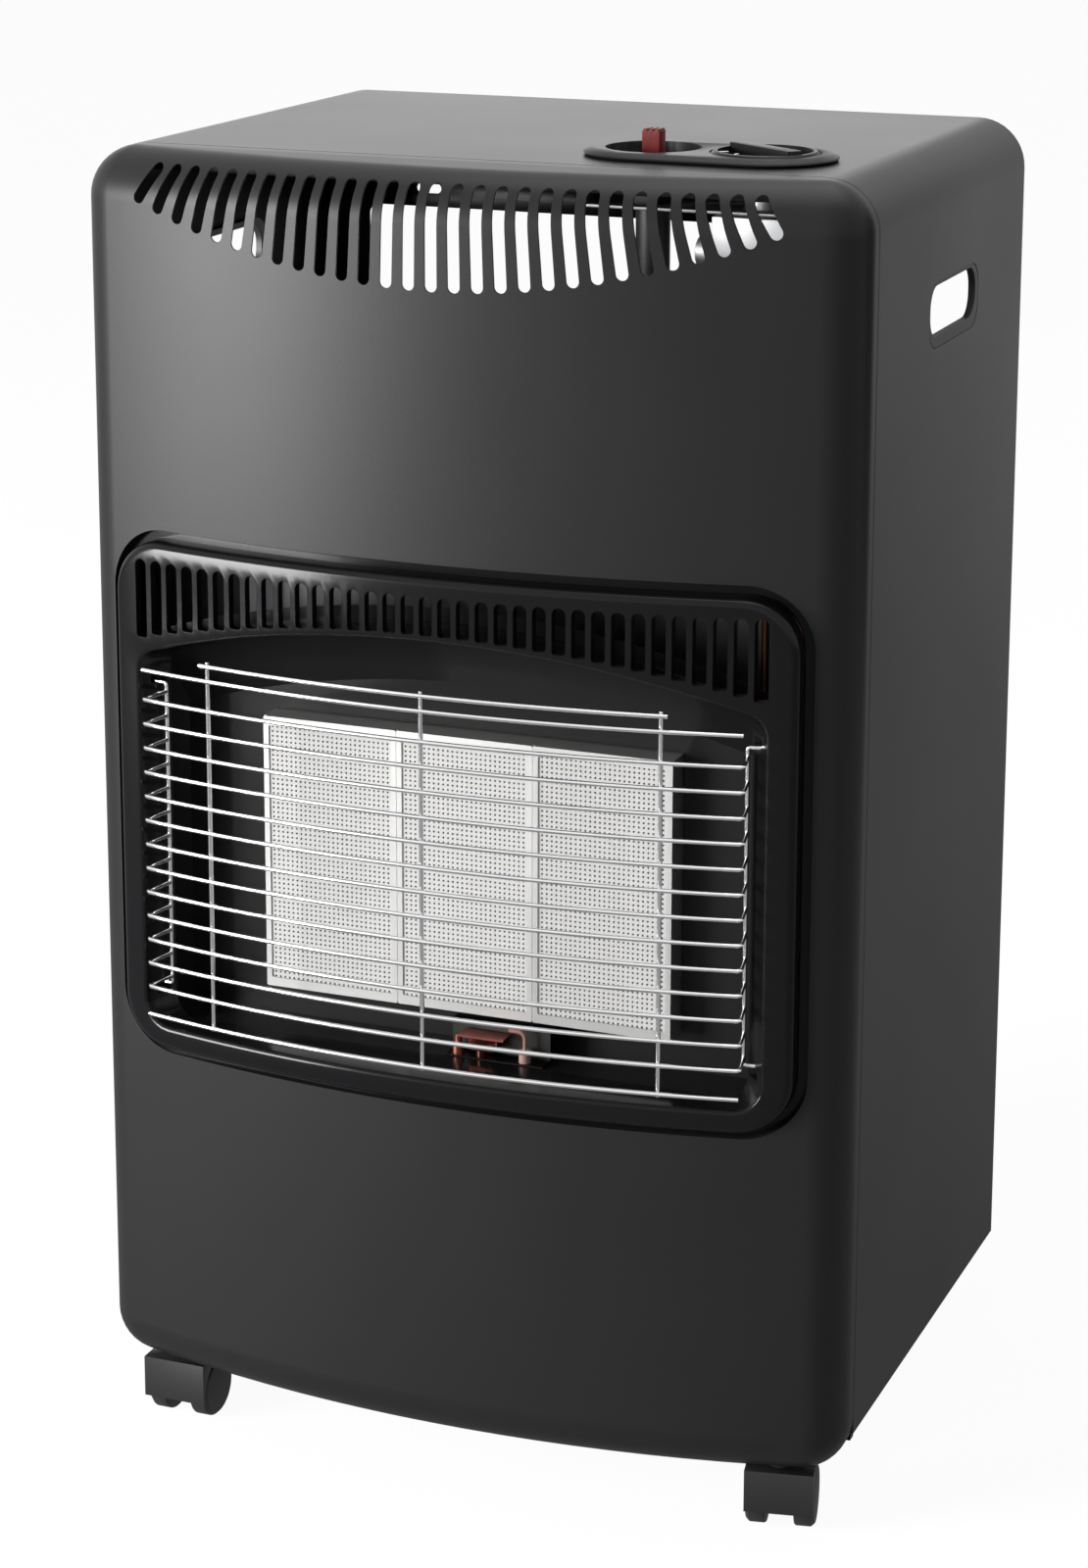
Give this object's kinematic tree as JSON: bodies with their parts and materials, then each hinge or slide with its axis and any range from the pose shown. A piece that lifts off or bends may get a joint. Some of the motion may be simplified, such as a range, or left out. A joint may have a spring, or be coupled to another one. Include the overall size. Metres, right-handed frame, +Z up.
{
  "type": "cabinet gas heater",
  "caption": "Upright cabinet gas heater with a bowed front, arched burner opening behind a wire guard, top controls, side hand holds and twin-wheel casters.",
  "frame": {"origin": "on the floor, under the middle of the overall box", "axes": "+Z up, +Y to the back of the heater, +X to the right of someone who faces its front"},
  "size_m": [0.43, 0.3681, 0.7375],
  "materials": {
    "powder_coat": "satin powder coat",
    "gloss_enamel": "gloss enamel",
    "recess_steel": "semi-gloss heat-resistant enamel",
    "zinc_steel": "zinc plated",
    "burner_steel": "plain, heat tinted",
    "ceramic": "matt, perforated",
    "guard_wire": "bright",
    "black_plastic": "matt",
    "control_plastic": "semi-gloss",
    "red_plastic": "semi-gloss",
    "cast_alloy": "as cast",
    "brass": "turned",
    "copper": "drawn copper",
    "electrode_ceramic": "glazed",
    "caster_plastic": "moulded",
    "axle_steel": "drawn",
    "wheel_plastic": "moulded"
  },
  "bodies": {
    "cabinet": {"cabinet_shell": "powder_coat", "front_panel": "powder_coat", "base_plate": "powder_coat", "heat_shield": "zinc_steel", "hinge_brackets": "zinc_steel", "handle_insert_left": "black_plastic", "handle_insert_right": "black_plastic", "panel_screws": "zinc_steel", "control_panel": "control_plastic", "piezo_igniter": "black_plastic", "gas_valve": "cast_alloy", "valve_bracket": "zinc_steel", "hose_nozzle": "brass", "burner_surround": "gloss_enamel", "firebox": "recess_steel", "guard": "guard_wire", "burner_bracket": "zinc_steel", "burner_housing_left": "burner_steel", "burner_housing_centre": "burner_steel", "burner_housing_right": "burner_steel", "ceramic_plate_left": "ceramic", "ceramic_plate_centre": "ceramic", "ceramic_plate_right": "ceramic", "plate_frame_left": "burner_steel", "plate_frame_centre": "burner_steel", "plate_frame_right": "burner_steel", "mixing_tube_left": "burner_steel", "mixing_tube_centre": "burner_steel", "mixing_tube_right": "burner_steel", "injector_rail": "zinc_steel", "injectors": "brass", "feed_pipes": "copper", "pilot_pipe": "copper", "pilot_bracket": "zinc_steel", "pilot_burner": "copper", "spark_electrode": "electrode_ceramic", "thermocouple": "copper", "caster_sockets": "black_plastic"},
    "spindle": {"spindle_sleeve": "brass"},
    "knob": {"control_knob": "control_plastic", "valve_stem": "brass"},
    "ignition_key": {"ignition_button": "red_plastic"},
    "cover": {"rear_cover": "powder_coat"},
    "caster_fl": {"caster_fl_hood": "caster_plastic", "caster_fl_axle": "axle_steel"},
    "wheel_fl_left": {"caster_fl_wheel_left": "wheel_plastic"},
    "wheel_fl_right": {"caster_fl_wheel_right": "wheel_plastic"},
    "caster_fr": {"caster_fr_hood": "caster_plastic", "caster_fr_axle": "axle_steel"},
    "wheel_fr_left": {"caster_fr_wheel_left": "wheel_plastic"},
    "wheel_fr_right": {"caster_fr_wheel_right": "wheel_plastic"},
    "caster_rl": {"caster_rl_hood": "caster_plastic", "caster_rl_axle": "axle_steel"},
    "wheel_rl_left": {"caster_rl_wheel_left": "wheel_plastic"},
    "wheel_rl_right": {"caster_rl_wheel_right": "wheel_plastic"},
    "caster_rr": {"caster_rr_hood": "caster_plastic", "caster_rr_axle": "axle_steel"},
    "wheel_rr_left": {"caster_rr_wheel_left": "wheel_plastic"},
    "wheel_rr_right": {"caster_rr_wheel_right": "wheel_plastic"}
  },
  "joints": [
    {"name": "knob_push", "type": "slide", "parent": "cabinet", "child": "spindle", "axis": [0, 0, -1], "range_m": [0, 0.003], "stiffness_N_per_m": 1200, "springref_m": -0.004},
    {"name": "knob_turn", "type": "hinge", "parent": "spindle", "child": "knob", "pos_m": [0.1375, -0.05295, 0.726], "axis": [0, 0, 1], "range_deg": [0, 240]},
    {"name": "ignition_push", "type": "slide", "parent": "cabinet", "child": "ignition_key", "axis": [0, 0, -1], "range_m": [0, 0.005], "stiffness_N_per_m": 500, "springref_m": -0.003},
    {"name": "cover_tilt", "type": "hinge", "parent": "cabinet", "child": "cover", "pos_m": [0, 0.18005, 0.067], "axis": [-1, 0, 0], "range_deg": [0, 80]},
    {"name": "swivel_fl", "type": "hinge", "parent": "cabinet", "child": "caster_fl", "pos_m": [-0.178, -0.11495, 0.037], "axis": [0, 0, 1], "continuous": true},
    {"name": "spin_fl_left", "type": "hinge", "parent": "caster_fl", "child": "wheel_fl_left", "pos_m": [-0.178, -0.10595, 0.017], "axis": [1, 0, 0], "continuous": true},
    {"name": "spin_fl_right", "type": "hinge", "parent": "caster_fl", "child": "wheel_fl_right", "pos_m": [-0.178, -0.10595, 0.017], "axis": [1, 0, 0], "continuous": true},
    {"name": "swivel_fr", "type": "hinge", "parent": "cabinet", "child": "caster_fr", "pos_m": [0.178, -0.11495, 0.037], "axis": [0, 0, 1], "continuous": true},
    {"name": "spin_fr_left", "type": "hinge", "parent": "caster_fr", "child": "wheel_fr_left", "pos_m": [0.17621, -0.10613, 0.017], "axis": [0.9799, 0.1994, 0], "continuous": true},
    {"name": "spin_fr_right", "type": "hinge", "parent": "caster_fr", "child": "wheel_fr_right", "pos_m": [0.17621, -0.10613, 0.017], "axis": [0.9799, 0.1994, 0], "continuous": true},
    {"name": "swivel_rl", "type": "hinge", "parent": "cabinet", "child": "caster_rl", "pos_m": [-0.162, 0.14405, 0.037], "axis": [0, 0, 1], "continuous": true},
    {"name": "spin_rl_left", "type": "hinge", "parent": "caster_rl", "child": "wheel_rl_left", "pos_m": [-0.162, 0.15305, 0.017], "axis": [1, 0, 0], "continuous": true},
    {"name": "spin_rl_right", "type": "hinge", "parent": "caster_rl", "child": "wheel_rl_right", "pos_m": [-0.162, 0.15305, 0.017], "axis": [1, 0, 0], "continuous": true},
    {"name": "swivel_rr", "type": "hinge", "parent": "cabinet", "child": "caster_rr", "pos_m": [0.162, 0.14405, 0.037], "axis": [0, 0, 1], "continuous": true},
    {"name": "spin_rr_left", "type": "hinge", "parent": "caster_rr", "child": "wheel_rr_left", "pos_m": [0.162, 0.15305, 0.017], "axis": [1, 0, 0], "continuous": true},
    {"name": "spin_rr_right", "type": "hinge", "parent": "caster_rr", "child": "wheel_rr_right", "pos_m": [0.162, 0.15305, 0.017], "axis": [1, 0, 0], "continuous": true}
  ]
}
